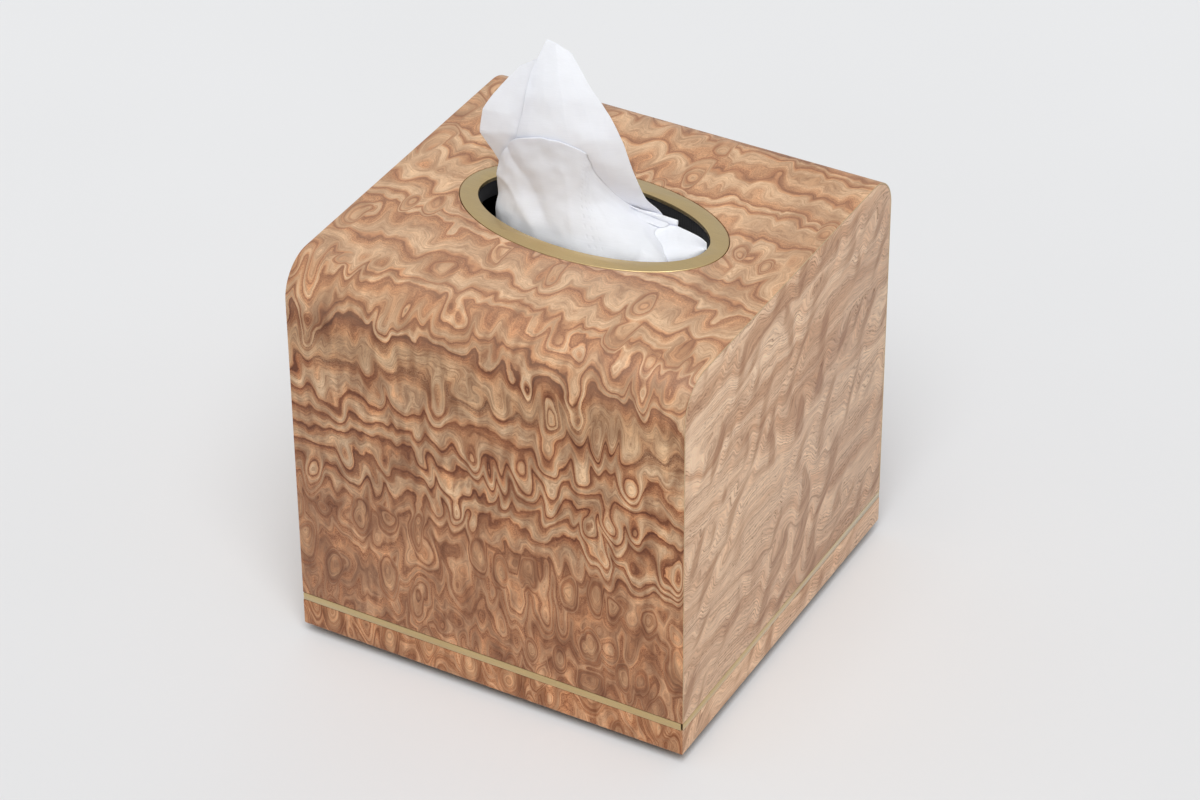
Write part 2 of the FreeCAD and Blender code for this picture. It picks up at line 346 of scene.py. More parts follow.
class Graph:
    """Builds a node tree. Inputs are sockets or plain values."""

    def __init__(self, tree, material=None):
        self.tree = tree
        self.material = material

    def join(self, socket, value):
        if isinstance(value, bpy.types.NodeSocket):
            self.tree.links.new(value, socket)
        else:
            socket.default_value = value

    def fill(self, sockets, **values):
        """Joins each value to the socket that its keyword names."""
        for name, value in values.items():
            self.join(sockets[socket_name(name)], value)

    def add(self, kind, inputs=None, **settings):
        made = self.tree.nodes.new(kind)
        for name, value in settings.items():
            setattr(made, name, value)
        for name, value in (inputs or {}).items():
            self.join(made.inputs[name], value)
        return made

    def math(self, operation, *values):
        made = self.add("ShaderNodeMath", operation=operation)
        for socket, value in zip(made.inputs, values):
            self.join(socket, value)
        return made.outputs[0]

    def plus(self, first, *others):
        """Sum of all the values."""
        for other in others:
            first = self.math("ADD", first, other)
        return first

    def less(self, first, second):
        return self.math("SUBTRACT", first, second)

    def times(self, first, *others):
        """Product of all the values."""
        for other in others:
            first = self.math("MULTIPLY", first, other)
        return first

    def over(self, first, second):
        return self.math("DIVIDE", first, second)

    def stretched(self, vector, by):
        made = self.add("ShaderNodeVectorMath", operation="MULTIPLY")
        self.join(made.inputs[0], vector)
        self.join(made.inputs[1], by)
        return made.outputs[0]

    def combine(self, x, y, z=0.0):
        return self.add("ShaderNodeCombineXYZ", {"X": x, "Y": y, "Z": z}).outputs[0]

    def separate(self, vector):
        return self.add("ShaderNodeSeparateXYZ", {"Vector": vector}).outputs

    def noise(self, place, scale=1.0, detail=1.0, roughness=0.5):
        inputs = {"Vector": place, "Scale": scale, "Detail": detail, "Roughness": roughness}
        return self.add("ShaderNodeTexNoise", inputs).outputs["Fac"]

    def spread(self, x, y, across, along, seed=0.0, detail=1.0, roughness=0.5):
        """Noise whose grain is across by along, in the units of x and y."""
        place = self.combine(self.over(x, across), self.over(y, along), seed)
        return self.noise(place, 1.0, detail, roughness)

    def cells(self, place, random, feature):
        """Flat cells one unit wide."""
        inputs = {"Vector": place, "Scale": 1.0, "Randomness": random}
        settings = {"voronoi_dimensions": "2D", "feature": feature}
        return self.add("ShaderNodeTexVoronoi", inputs, **settings).outputs

    def centred(self, value, reach):
        """Noise value turned into a shift of up to half the reach each way."""
        return self.times(self.less(value, 0.5), reach)

    def map(self, value, low, high, to_low=0.0, to_high=1.0, mode="LINEAR"):
        inputs = {"Value": value, "From Min": low, "From Max": high}
        inputs.update({"To Min": to_low, "To Max": to_high})
        made = self.add("ShaderNodeMapRange", inputs, interpolation_type=mode)
        return made.outputs["Result"]

    def ease(self, value, low, high, to_low=0.0, to_high=1.0):
        """Map with soft ends."""
        return self.map(value, low, high, to_low, to_high, "SMOOTHSTEP")

    def between(self, value, low, high):
        """Noise value spread out between two others."""
        return self.map(value, 0.3, 0.7, low, high)

    def fade(self, share, start, end):
        """Value that goes from start to end as the share goes from 0 to 1."""
        return self.map(share, 0.0, 1.0, start, end)

    def mix(self, factor, first, second, blend="MIX"):
        made = self.add("ShaderNodeMix", data_type="RGBA", blend_type=blend)
        for place, value in ((0, factor), (6, first), (7, second)):
            self.join(made.inputs[place], value)
        return made.outputs[2]

    def scaled(self, tone, value):
        """Colour times a value."""
        return self.mix(1.0, tone, self.combine(value, value, value), "MULTIPLY")

    def tinted(self, name, value):
        """Colour property times a value."""
        return self.scaled(tone_of(name), value)

    def browner(self, amount, tone):
        """Colour drawn towards brown shade."""
        return self.mix(amount, tone, self.mix(1.0, tone, (0.62, 0.5, 0.42, 1.0), "MULTIPLY"))

    def brighter(self, amount, tone):
        """Colour drawn towards light."""
        return self.mix(amount, tone, self.mix(1.0, tone, (1.3, 1.28, 1.24, 1.0), "MULTIPLY"))

    def grained(self, tone, value, reach, browner, brighter):
        """Colour made browner where a noise value is low and brighter where it is high."""
        tone = self.browner(self.map(value, 0.5, 0.5 - reach, 0.0, browner), tone)
        return self.brighter(self.map(value, 0.5, 0.5 + reach, 0.0, brighter), tone)

    def apart(self, value, place):
        """Distance of a value from a place."""
        return self.math("ABSOLUTE", self.less(value, place))

    def ramp(self, factor, stops):
        made = self.add("ShaderNodeValToRGB")
        spots = made.color_ramp.elements
        while len(spots) < len(stops):
            spots.new(0.5)
        for spot, (place, tone) in zip(spots, stops):
            spot.position = place
            spot.color = tone
        self.join(made.inputs[0], factor)
        return made.outputs["Color"]

    def profile(self, factor, stops):
        """Ramp of plain values."""
        return self.ramp(factor, [(place, (value, value, value, 1.0)) for place, value in stops])

    def place(self):
        """Object coordinates in millimetres."""
        spot = self.add("ShaderNodeTexCoord").outputs["Object"]
        return self.stretched(spot, (1 / MM, 1 / MM, 1 / MM))

    def axes(self):
        return self.separate(self.place())

    def group(self, tree, **inputs):
        made = self.add("ShaderNodeGroup", node_tree=tree)
        self.fill(made.inputs, **inputs)
        return made.outputs

    def bump(self, height, distance, strength=1.0):
        inputs = {"Height": height, "Distance": distance, "Strength": strength}
        return self.add("ShaderNodeBump", inputs).outputs["Normal"]

    def surface(self, tone, **inputs):
        """Principled surface to the material's output. Gives the finished material."""
        made = self.add("ShaderNodeBsdfPrincipled")
        self.fill(made.inputs, base_color=tone, **inputs)
        self.add("ShaderNodeOutputMaterial", {"Surface": made.outputs[0]})
        return self.material


def tone_of(name):
    """Colour property as four numbers."""
    return (*getattr(colours(), name), 1.0)


def new_material(name):
    """Graph of a new, empty material."""
    made = bpy.data.materials.new(name)
    made.use_nodes = True
    made.node_tree.nodes.clear()
    return Graph(made.node_tree, made)


VECTORS = ("Place", "Sheet")  # sockets of groups that hold a vector, where the others hold a value


def new_group(name, inputs, outputs):
    """Node group with its sockets. Gives its graph, inputs and outputs."""
    tree = bpy.data.node_groups.new(name, "ShaderNodeTree")
    for way, names in (("INPUT", inputs), ("OUTPUT", outputs)):
        for socket in names:
            kind = "NodeSocketVector" if socket in VECTORS else "NodeSocketFloat"
            tree.interface.new_socket(socket, in_out=way, socket_type=kind)
    graph = Graph(tree)
    start = graph.add("NodeGroupInput").outputs
    end = graph.add("NodeGroupOutput").inputs
    return tree, graph, start, end


def unrolled_group():
    """Place on the wrapped sheet: across, and up the front, over the top and down the back.

    Climb is the same way up from either foot.
    """
    tree, g, start, end = new_group("unrolled_sheet", ["Place"], ["Sheet", "Climb"])
    radius = sizes().shoulder / MM
    knee = WRAP_HIGH.z / MM - radius
    reach = WRAP_HIGH.y / MM - radius
    half = knee + radius * math.pi / 2 + reach
    x, y, z = g.separate(start["Place"])
    above = g.less(z, knee)
    inside = g.less(reach, g.math("ABSOLUTE", y))
    outside = g.math("MAXIMUM", g.times(inside, -1.0), 0.00001)
    turn = g.math("ARCTAN2", g.math("MAXIMUM", above, 0.0), outside)
    upright, level = g.math("MINIMUM", above, 0.0), g.math("MAXIMUM", inside, 0.0)
    climb = g.plus(upright, knee, g.times(turn, radius), level)
    front = g.less(1.0, g.times(g.math("GREATER_THAN", y, 0.0), 2.0))
    run = g.times(g.less(climb, half), front)
    g.fill(end, sheet=g.combine(x, g.plus(run, half)), climb=climb)
    return tree


# Rise of each line of the figure, in millimetres
LINES = (
    -8, -3.5, 0.5, 4.5, 8.5, 12.5, 17, 22, 28, 35, 42, 49, 57, 67, 79, 96, 101, 110, 114,
    124, 136, 140, 150, 162, 166, 178,
)


def spaced(g, value, places):
    """Value turned into a count that is whole at each of the places."""
    made = g.add("ShaderNodeFloatCurve")
    curve = made.mapping.curves[0]
    low, high, last = places[0], places[-1], len(places) - 1
    while len(curve.points) < len(places):
        curve.points.new(0.5, 0.5)
    for number, (point, place) in enumerate(zip(curve.points, places)):
        point.location = ((place - low) / (high - low), number / last)
        point.handle_type = "VECTOR"
    made.mapping.update()
    g.join(made.inputs["Value"], g.map(value, low, high))
    return g.times(made.outputs["Value"], float(last))


def ridged(g, x, y, across, along, seed, soft):
    """Rounded fingers with sharp valleys between them."""
    value = g.less(g.spread(x, y, across, along, seed, 0.6), 0.5)
    return g.math("SQRT", g.plus(g.times(value, value), soft))


def eyes(g, x, y, width, tall):
    """Rounded domes scattered over the sheet, and a random share for each."""
    spot = g.combine(g.over(x, width), g.over(y, tall))
    near, edge = (g.cells(spot, 0.85, feature) for feature in ("F1", "DISTANCE_TO_EDGE"))
    pick, size, _ = g.separate(near["Color"])
    away = g.over(near["Distance"], g.fade(size, 0.22, 0.56))
    dome = g.math("MAXIMUM", g.less(1.0, g.times(away, away)), 0.0)
    return g.times(dome, g.ease(edge["Distance"], 0.0, 0.16)), pick


def layers_group():
    """Height of the wood's layers under each spot of the sheet, whose contours draw the figure."""
    outputs = ["Rise", "Finger", "Dome", "Eyed", "Top", "Level"]
    tree, g, start, end = new_group("rising_layers", ["Sheet", "Climb"], outputs)
    x, y, _ = g.separate(start["Sheet"])
    climb = start["Climb"]
    drift = g.centred(g.spread(x, y, 75.0, 42.0, 0.3), 16.0)
    ragged = g.centred(g.spread(x, y, 32.0, 26.0, 5.0, 2.0), 22.0)
    level = g.plus(climb, ragged)
    low = g.ease(level, 54.0, 66.0, 1.0, 0.0)
    top = g.ease(level, 142.0, 160.0)
    eyed = g.plus(low, g.times(top, 0.65))
    # Layers climb slowly at the foot, fast above it and a little slower on the top
    foot = g.times(g.math("SMOOTH_MIN", climb, 60.0, 12.0), 0.67)
    crown = g.math("SMOOTH_MAX", g.less(climb, 150.0), 0.0, 20.0)
    rise = g.less(g.less(climb, foot), g.times(crown, 0.2))
    # Upright fingers, pointed above and round below
    swayed = g.plus(x, g.centred(g.spread(x, y, 22.0, 16.0, 2.0), 4.5))
    finger = ridged(g, swayed, y, 9.6, 30.0, 0.0, 0.0006)
    swell = g.map(g.spread(x, y, 26.0, 16.0, 9.0), 0.32, 0.68, 0.3, 2.5)
    ripple = g.times(finger, swell, 44.0)
    small = g.times(ridged(g, swayed, y, 6.0, 14.0, 3.0, 0.002), 9.0)
    leaning = g.plus(x, g.centred(g.spread(x, y, 9.0, 9.0, 12.0), 1.6))
    dome, pick = eyes(g, leaning, y, 10.5, 23.0)
    share = g.fade(eyed, 0.9, 0.2)
    dome = g.times(dome, g.ease(g.less(pick, share), 0.0, 0.2))
    calm = g.less(g.fade(low, 1.0, 0.7), g.times(top, 0.58))
    relief = g.times(g.plus(ripple, small), calm)
    tall = g.times(g.fade(pick, 7.0, 16.0), g.fade(top, 1.0, 0.75))
    relief = g.plus(g.times(dome, tall), relief)
    rise = g.plus(rise, drift, relief)
    g.fill(end, rise=rise, finger=finger, dome=dome, eyed=eyed, top=top, level=level)
    return tree


def lacquered(g, tone, streak, pores, satin, coat):
    """Thin lacquer over wood, duller on the streaks and sunk into the pores."""
    gloss = g.plus(g.between(streak, satin, 0.5), g.times(pores, 0.2))
    relief = g.bump(g.less(g.times(streak, 0.25), pores), 0.00005, 0.5)
    coating = {"specular_ior_level": 0.25, "coat_weight": coat, "coat_roughness": 0.3}
    return g.surface(tone, roughness=gloss, normal=relief, **coating)


def figured_veneer():
    """Lacquered wood with bold wavy lines, eyes at the foot and a calmer top, paler partly from its own
    wood and partly from painted sheen; fingers, eyes and shoulder carry painted chatoyant sheen and shade.
    """
    g = new_material("figured_veneer")
    sheet, climb = g.group(unrolled_group(), place=g.place())
    rise, finger, dome, eyed, top, level = g.group(layers_group(), sheet=sheet, climb=climb)
    x, y, _ = g.separate(sheet)
    rough = g.centred(g.spread(x, y, 1.6, 1.6, 0.0, 3.0, 0.7), 1.6)
    risen = g.plus(rise, g.times(rough, g.fade(eyed, 1.0, 0.4)))
    count = spaced(g, risen, LINES)
    ring = g.math("FRACT", count)
    kind = "ShaderNodeTexWhiteNoise"
    own = g.add(kind, {"W": g.math("FLOOR", count)}, noise_dimensions="1D").outputs["Value"]
    # Each layer is pale below and brown under the dark line that ends it
    pale, mid, brown, line = (tone_of(n) for n in ("pale", "mid", "brown", "line"))
    drawn = [(0.0, line), (0.02, brown), (0.06, mid), (0.28, pale), (0.5, pale)]
    drawn += [(0.68, mid), (0.86, brown), (0.94, line)]
    soft = [(0.0, brown), (0.08, mid), (0.3, pale), (0.6, mid), (1.0, brown)]
    fine = [(0.0, line), (0.05, brown), (0.12, mid), (0.2, pale), (0.6, pale), (0.85, mid)]
    fine += [(1.0, brown)]
    bold = g.map(g.spread(x, rise, 26.0, 12.0, 3.0), 0.34, 0.54, 0.3, 1.0)
    bold = g.times(bold, g.fade(own, 0.6, 1.1), g.fade(eyed, 1.0, 0.35))
    bold = g.times(bold, g.ease(climb, 126.0, 144.0, 1.0, 0.6))
    tone = g.mix(bold, g.ramp(ring, soft), g.ramp(ring, drawn))
    tone = g.mix(g.times(top, 0.8), tone, g.ramp(ring, fine))
    plain = g.fade(top, 1.0, 0.4)
    # Browner ground at the foot, a pale band under the shoulder
    low = g.ease(level, 58.0, 70.0, 0.6, 0.0)
    tone = g.mix(low, tone, tone_of("ground"))
    band = g.ease(g.apart(level, 119.0), 3.0, 9.0, 0.5, 0.0)
    tone = g.mix(band, tone, tone_of("band"))
    # Painted chatoyant sheen and shade: fingers are painted bright along the middle and brown at the sides,
    # and eyes brown at their flanks; the middles of the eyes get their own colour
    shade = g.ease(finger, 0.02, 0.13, 0.5, 0.0)
    tone = g.browner(g.times(shade, plain), tone)
    light = g.ease(finger, 0.13, 0.28, 0.0, 0.5)
    tone = g.brighter(g.times(light, plain), tone)
    painted_flank_shade = g.times(dome, g.less(1.0, dome), 2.4)
    tone = g.browner(painted_flank_shade, tone)
    tone = g.mix(g.ease(dome, 0.5, 0.9, 0.0, 0.45), tone, tone_of("eye"))
    # Painted chatoyant sheen and shade in narrow upright streaks
    painted_light = g.spread(x, y, 3.4, 13.0, 21.0, 1.5)
    tone = g.browner(g.times(g.map(painted_light, 0.5, 0.34, 0.0, 0.65), plain), tone)
    tone = g.brighter(g.times(g.map(painted_light, 0.52, 0.66, 0.0, 0.7), plain), tone)
    tone = g.browner(g.map(g.spread(x, y, 17.0, 13.0, 31.0), 0.55, 0.32, 0.0, 0.4), tone)
    # Grain along the layers, and pores under the lines
    hair = g.spread(risen, x, 2.6, 24.0, 14.0, 2.0, 0.6)
    tone = g.grained(tone, hair, 0.14, 0.6, 0.5)
    streak = g.spread(risen, x, 0.7, 5.0, 0.0, 3.0, 0.8)
    tone = g.grained(tone, streak, 0.14, 0.75, 0.75)
    under = [(0.0, 0.9), (0.05, 0.1), (0.5, 0.06), (0.8, 0.5), (1.0, 1.0)]
    pores = g.map(g.spread(x, y, 0.55, 0.35, 0.0, 2.0, 0.7), 0.48, 0.58)
    pores = g.times(pores, g.profile(ring, under), g.fade(dome, 1.0, 0.0))
    tone = g.mix(g.times(pores, 0.8), tone, line)
    grain = g.spread(x, y, 0.5, 1.4, 7.0, 2.0, 0.7)
    tone = g.browner(g.map(grain, 0.5, 0.3, 0.0, 0.35), tone)
    # Painted sheen on the shoulder, drawn towards the crown colour; on the top the pull towards the crown
    # colour is partly its own paler wood and partly painted sheen
    knee = g.ease(g.apart(climb, 141.0), 6.0, 16.0, 0.5, 0.0)
    tone = g.mix(g.times(knee, 0.35), tone, tone_of("crown"))
    tone = g.mix(g.times(top, 0.2), tone, tone_of("crown"))
    return lacquered(g, tone, streak, pores, 0.38, 0.08)


def slanted_waves(g, along, z, aside):
    """Ridges that lean as they rise."""
    slant = g.less(g.plus(along, aside), g.times(z, 0.5))
    return ridged(g, slant, z, 17.0, 24.0, 1.0, 0.0007)


def side_veneer():
    """Lacquered wood with fine level grain that rises in slanting waves, with painted sheen and shade on
    the waves' flanks and painted shade towards the foot.
    """
    g = new_material("side_veneer")
    x, y, z = g.axes()
    along = g.plus(y, g.times(x, 3.0))
    wave = slanted_waves(g, along, z, 0.0)
    swell = g.map(g.spread(along, z, 34.0, 26.0, 6.0), 0.34, 0.66, 0.25, 1.7)
    slope = g.times(g.less(slanted_waves(g, along, z, 2.4), wave), swell)
    lift = g.times(wave, swell, 30.0)
    drift = g.centred(g.spread(along, z, 90.0, 40.0, 8.0), 14.0)
    small = g.centred(g.spread(along, z, 6.0, 8.0, 4.0, 2.0), 1.7)
    rise = g.plus(z, drift, g.plus(lift, small))
    pale, mid, shade, line = (tone_of(n) for n in ("side_pale", "side", "side_shade", "side_line"))
    bands = g.spread(rise, along, 11.0, 150.0, 0.0, 2.0, 0.6)
    tone = g.ramp(bands, [(0.34, mid), (0.46, pale), (0.56, mid), (0.66, shade)])
    # Painted chatoyant shade and sheen: one flank of each wave is painted brown and the other pale
    tone = g.browner(g.ease(slope, -0.006, -0.06, 0.0, 0.72), tone)
    tone = g.brighter(g.ease(slope, 0.006, 0.06, 0.0, 0.45), tone)
    ragged = g.plus(rise, g.centred(g.spread(along, z, 3.0, 0.8, 2.0, 2.0, 0.7), 0.9))
    fine = g.math("FRACT", g.over(ragged, 1.3))
    lines = [(0.0, 0.5), (0.18, 0.06), (0.55, 0.0), (0.85, 0.24), (1.0, 0.5)]
    some = g.map(g.spread(along, rise, 40.0, 5.0, 2.0), 0.36, 0.62, 0.15, 1.0)
    tone = g.mix(g.times(g.profile(fine, lines), some), tone, line)
    wide = g.math("FRACT", g.over(ragged, 17.0))
    bold = [(0.0, 0.7), (0.02, 0.0), (0.76, 0.0), (0.95, 0.3), (1.0, 0.7)]
    where = g.map(g.spread(along, rise, 30.0, 9.0, 12.0), 0.45, 0.62, 0.0, 0.8)
    tone = g.mix(g.times(g.profile(wide, bold), where), tone, line)
    streak = g.spread(rise, along, 0.55, 9.0, 0.0, 3.0, 0.75)
    tone = g.grained(tone, streak, 0.16, 0.55, 0.45)
    # Painted shade: darker towards the foot
    tone = g.browner(g.map(z, 20.0, 110.0, 0.4, 0.0), tone)
    pores = g.times(g.map(g.spread(rise, along, 0.3, 2.2, 5.0), 0.6, 0.68), some)
    tone = g.mix(g.times(pores, 0.55), tone, tone_of("line"))
    return lacquered(g, tone, streak, pores, 0.4, 0.06)


def veneer_edge():
    """Cut edge of the veneer: pale, with its plies showing."""
    g = new_material("veneer_edge")
    x, y, z = g.axes()
    fibre = g.spread(g.plus(y, z), x, 1.4, 0.12, 0.0, 2.0)
    tone = g.tinted("edge", g.between(fibre, 0.75, 1.05))
    return g.surface(tone, roughness=g.between(fibre, 0.5, 0.65))


def brushed_group():
    """Fine scratches along one way, for metal."""
    tree, g, start, end = new_group("brushed_metal", ["Along", "Across"], ["Scratch", "Smear"])
    along, across = start["Along"], start["Across"]
    scratch = g.spread(along, across, 9.0, 0.07, 0.0, 3.0, 0.7)
    g.fill(end, scratch=scratch, smear=g.spread(along, across, 22.0, 9.0, 4.0, 3.0))
    return tree


def brass(name, group, lengthways, painted_light=1.0):
    """Satin brass, brushed the long way. Lengthways picks along and across from x, y and z. The last
    argument scales the colour as painted light; below 1 it paints shade.
    """
    g = new_material(name)
    along, across = lengthways(g, *g.axes())
    scratch, smear = g.group(group, along=along, across=across)
    tone = g.tinted("brass", g.between(scratch, 0.84 * painted_light, 1.12 * painted_light))
    tone = g.mix(g.map(smear, 0.4, 0.75, 0.0, 0.3), tone, (0.5, 0.34, 0.14, 1.0))
    gloss = g.plus(g.between(scratch, 0.26, 0.4), g.between(smear, 0.0, 0.08))
    relief = g.bump(scratch, 0.00002, 0.6)
    coating = {"coat_weight": 1.0, "coat_roughness": 0.2}
    return g.surface(tone, metallic=1.0, roughness=gloss, normal=relief, **coating)


def woven_group():
    """Over and under of a plain weave: the height of its threads and a mask of the gaps."""
    tree, g, start, end = new_group("plain_weave", ["Across", "Along", "Pitch"], ["Thread", "Gap"])
    heights = []
    for name in ("Across", "Along"):
        turn = g.math("SINE", g.times(g.over(start[name], start["Pitch"]), math.pi))
        heights.append(g.times(turn, turn))
    thread = g.times(*heights)
    g.fill(end, thread=thread, gap=g.map(thread, 0.0, 0.25, 1.0, 0.0))
    return tree


def lining_cloth(weave):
    """Black lining cloth, close woven."""
    g = new_material("lining_cloth")
    place = g.place()
    x, y, z = g.separate(place)
    thread, gap = g.group(weave, across=g.plus(x, y), along=g.plus(z, y), pitch=0.6)
    dust = g.noise(place, 0.2, 4.0, 0.7)
    tone = g.tinted("cloth", g.between(dust, 0.8, 1.6))
    # Painted shade in the gaps between the threads
    tone = g.mix(g.times(gap, 0.5), tone, (0.004, 0.004, 0.005, 1.0))
    gloss, relief = g.fade(thread, 0.75, 0.6), g.bump(thread, 0.00008, 0.5)
    return g.surface(tone, roughness=gloss, normal=relief, sheen_weight=0.08)


def felt_cloth():
    """Pressed felt with loose fibres."""
    g = new_material("felt_cloth")
    fibre = g.noise(g.place(), 3.0, 5.0, 0.8)
    tone = g.tinted("felt", g.between(fibre, 0.6, 2.0))
    gloss, relief = g.between(fibre, 0.85, 1.0), g.bump(fibre, 0.0003)
    return g.surface(tone, roughness=gloss, normal=relief, sheen_weight=0.2)


def pressed_board(name, tone_name, contrast):
    """Fibre board, speckled and clouded."""
    g = new_material(name)
    place = g.place()
    speck, cloud = g.noise(place, 1.4, 5.0, 0.75), g.noise(place, 0.05, 3.0)
    tone = g.tinted(tone_name, g.between(speck, 1 - contrast, 1 + contrast))
    tone = g.scaled(tone, g.between(cloud, 0.88, 1.1))
    return g.surface(tone, roughness=g.between(speck, 0.6, 0.8), normal=g.bump(speck, 0.00015, 0.6))


def plated_magnet():
    """Nickel plate with smudges."""
    g = new_material("plated_magnet")
    x, y, _ = g.axes()
    smudge = g.spread(x, y, 3.0, 3.0, 0.0, 4.0, 0.65)
    tone = g.tinted("magnet", g.between(smudge, 0.85, 1.05))
    return g.surface(tone, metallic=1.0, roughness=g.between(smudge, 0.14, 0.32))


def crepe_group():
    """Creping lines and small pressed dots of tissue paper."""
    tree, g, start, end = new_group("creped_paper", ["Across", "Along"], ["Crepe", "Dots"])
    across, along = start["Across"], start["Along"]
    crepe = g.spread(across, along, 5.0, 0.35, 0.0, 3.0, 0.65)
    pitch = 2.1
    cell = g.cells(g.combine(g.over(across, pitch), g.over(along, pitch)), 0.12, "F1")
    g.fill(end, crepe=crepe, dots=g.ease(cell["Distance"], 0.12, 0.3, 1.0, 0.0))
    return tree


def tissue_paper(crepe):
    """Thin white paper, soft and a little see-through, with its plies pressed together in dots."""
    g = new_material("tissue_paper")
    spot = g.add("ShaderNodeUVMap", uv_map="UVMap").outputs[0]
    across, along, _ = g.separate(g.stretched(spot, (1 / MM, 1 / MM, 0.0)))
    ribs, dots = g.group(crepe, across=across, along=along)
    middle = DRAWN / MM / 2
    dots = g.times(dots, g.ease(g.apart(across, middle), 2.0, 3.2, 1.0, 0.0))
    tone = g.tinted("tissue", g.between(ribs, 0.97, 1.01))
    tone = g.scaled(tone, g.fade(dots, 1.0, 0.975))
    relief = g.bump(g.less(g.times(ribs, 0.4), dots), 0.0001, 0.5)
    return g.surface(
        tone,
        roughness=g.between(ribs, 0.8, 0.95),
        normal=relief,
        subsurface_weight=1.0,
        subsurface_radius=(1.0, 1.0, 1.0),
        subsurface_scale=0.0002,
        specular_ior_level=0.2,
    )


def pile_paper(crepe):
    """Cut and folded edges of the piled tissues."""
    g = new_material("pile_paper")
    x, y, z = g.axes()
    ribs = g.group(crepe, across=g.plus(x, y), along=g.plus(g.times(z, 3.0), y))["Crepe"]
    tone = g.tinted("tissue", g.between(ribs, 0.94, 1.0))
    gloss, relief = g.between(ribs, 0.85, 0.95), g.bump(ribs, 0.0001, 0.4)
    return g.surface(tone, roughness=gloss, normal=relief, specular_ior_level=0.2)


def studio_floor():
    """Pale matt floor with a trace of cloudiness."""
    g = new_material("studio_floor")
    x, y, _ = g.axes()
    cloud = g.spread(x, y, 260.0, 260.0, 0.0, 3.0)
    tone = g.tinted("floor", g.between(cloud, 0.985, 1.01))
    # Painted light: paler away from the camera and darker near it
    turned = g.times(y, math.cos(CAMERA_TURN))
    depth = g.less(turned, g.times(x, math.sin(CAMERA_TURN)))
    tone = g.scaled(tone, g.map(depth, -250.0, 600.0, 0.94, 1.085))
    return g.surface(tone, roughness=g.between(cloud, 0.55, 0.65), specular_ior_level=0.25)


# Operators, one for each piece or group of like pieces


class PieceOperator:
    """What the operators share."""

    bl_options = {"REGISTER", "UNDO"}

    def execute(self, context):
        self.make()
        deselect()
        return {"FINISHED"}


class TISSUECOVER_OT_wrap(PieceOperator, bpy.types.Operator):
    """Figured veneer over front, top and back, and the plinths below it"""

    bl_idname = "tissue_cover.wrap"
    bl_label = "Wrapped veneer"

    def make(self):
        size = sizes()
        wood, cut = figured_veneer(), veneer_edge()
        skin = block("wrap_skin", WRAP_LOW, WRAP_HIGH)
        top = WRAP_HIGH.z
        round_shoulders(skin, top, size.shoulder)
        drop_faces(skin, lambda at, normal: abs(normal.x) > NEAR_AXIS or normal.z < -NEAR_AXIS)
        thicken(skin, size.veneer)
        half_length, half_width = RING_HIGH.x + size.ring_gap, RING_HIGH.y + size.ring_gap
        deep = 3 * size.veneer
        cut_out(skin, oval_bar("ring_recess", half_length, half_width, top - deep, top + deep))
        ease_edges(skin, size.ease)
        dressed(skin, "cover", wood, "figured_veneer", "wrap_veneer")
        skin.data.materials.append(cut)
        for face in skin.data.polygons:
            face.material_index = int(abs(face.normal.x) > NEAR_AXIS)
        for side, turn in (("front", 0), ("back", 2)):
            piece = plinth(f"{side}_plinth_skin", turn)
            dressed(piece, "cover", wood, "figured_veneer", f"{side}_plinth_veneer")


def plinth(name, turn):
    """Mitred plinth of one side, its lower edge eased. Turn counts quarter turns from the front."""
    size = sizes()
    half = PLINTH_HIGH.x
    low, high = PLINTH_LOW.z, PLINTH_HIGH.z
    piece = block(name, (-half, -half, low), (half, half, high))
    off_axis = 1 - NEAR_AXIS
    round_edges(piece, lambda at, way: at.z < low + MM and abs(way.z) < off_axis, size.foot, 6)
    nearly_flat = 0.99  # takes the last facet of the rounding too
    drop_faces(piece, lambda at, normal: abs(normal.z) > nearly_flat)
    thicken(piece, size.veneer)
    keep_side(piece, turn, half, 0, 0)
    ease_edges(piece, size.ease)
    return piece


def keep_side(piece, turn, half, *gaps):
    """Keeps one side of a square frame, cut at mitres with a gap at the left and one at the right."""
    for way, gap in zip((-1, 1), gaps):
        spin = Matrix.Rotation(turn * math.pi / 2, 3, "Z")
        corner = spin @ Vector((way * (half - gap), -half, 0))
        outward = spin @ Vector((way, 1, 0)).normalized()
        cut_mitre(piece, corner, outward)


class TISSUECOVER_OT_sides(PieceOperator, bpy.types.Operator):
    """Straight-grained veneer on the two sides, and the plinths below it"""

    bl_idname = "tissue_cover.sides"
    bl_label = "Side veneers"

    def make(self):
        size = sizes()
        wood = side_veneer()
        for side, turn in (("right", 1), ("left", 3)):
            low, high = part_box(f"{side}_veneer")
            skin = block(f"{side}_skin", low, high)
            round_shoulders(skin, high.z, size.shoulder - size.veneer)
            ease_edges(skin, size.ease * 0.5)
            dressed(skin, "cover", wood, "side_veneer", f"{side}_veneer")
            piece = plinth(f"{side}_plinth_skin", turn)
            dressed(piece, "cover", wood, "side_veneer", f"{side}_plinth_veneer")


class TISSUECOVER_OT_strips(PieceOperator, bpy.types.Operator):
    """Four mitred brass strips let into the sides"""

    bl_idname = "tissue_cover.strips"
    bl_label = "Brass strips"

    def make(self):
        size = sizes()
        brushed = brushed_group()
        # The upright strips are painted darker than the ring, as painted shade
        metal = brass("strip_brass", brushed, lambda g, x, y, z: (g.plus(x, y), z), painted_light=0.9)
        half = -STRIP_LOW.y
        low, high = (-half, -half, STRIP_LOW.z), (half, half, STRIP_HIGH.z)
        gap = half - STRIP_HIGH.x
        for turn, side in enumerate(("front", "right", "back", "left")):
            piece = block(f"{side}_strip_brass", low, high)
            drop_faces(piece, lambda at, normal: abs(normal.z) > NEAR_AXIS)
            thicken(piece, size.strip)
            keep_side(piece, turn, half, gap, size.slot)
            ease_edges(piece, size.ease)
            dressed(piece, "cover", metal, "brass", f"{side}_strip")


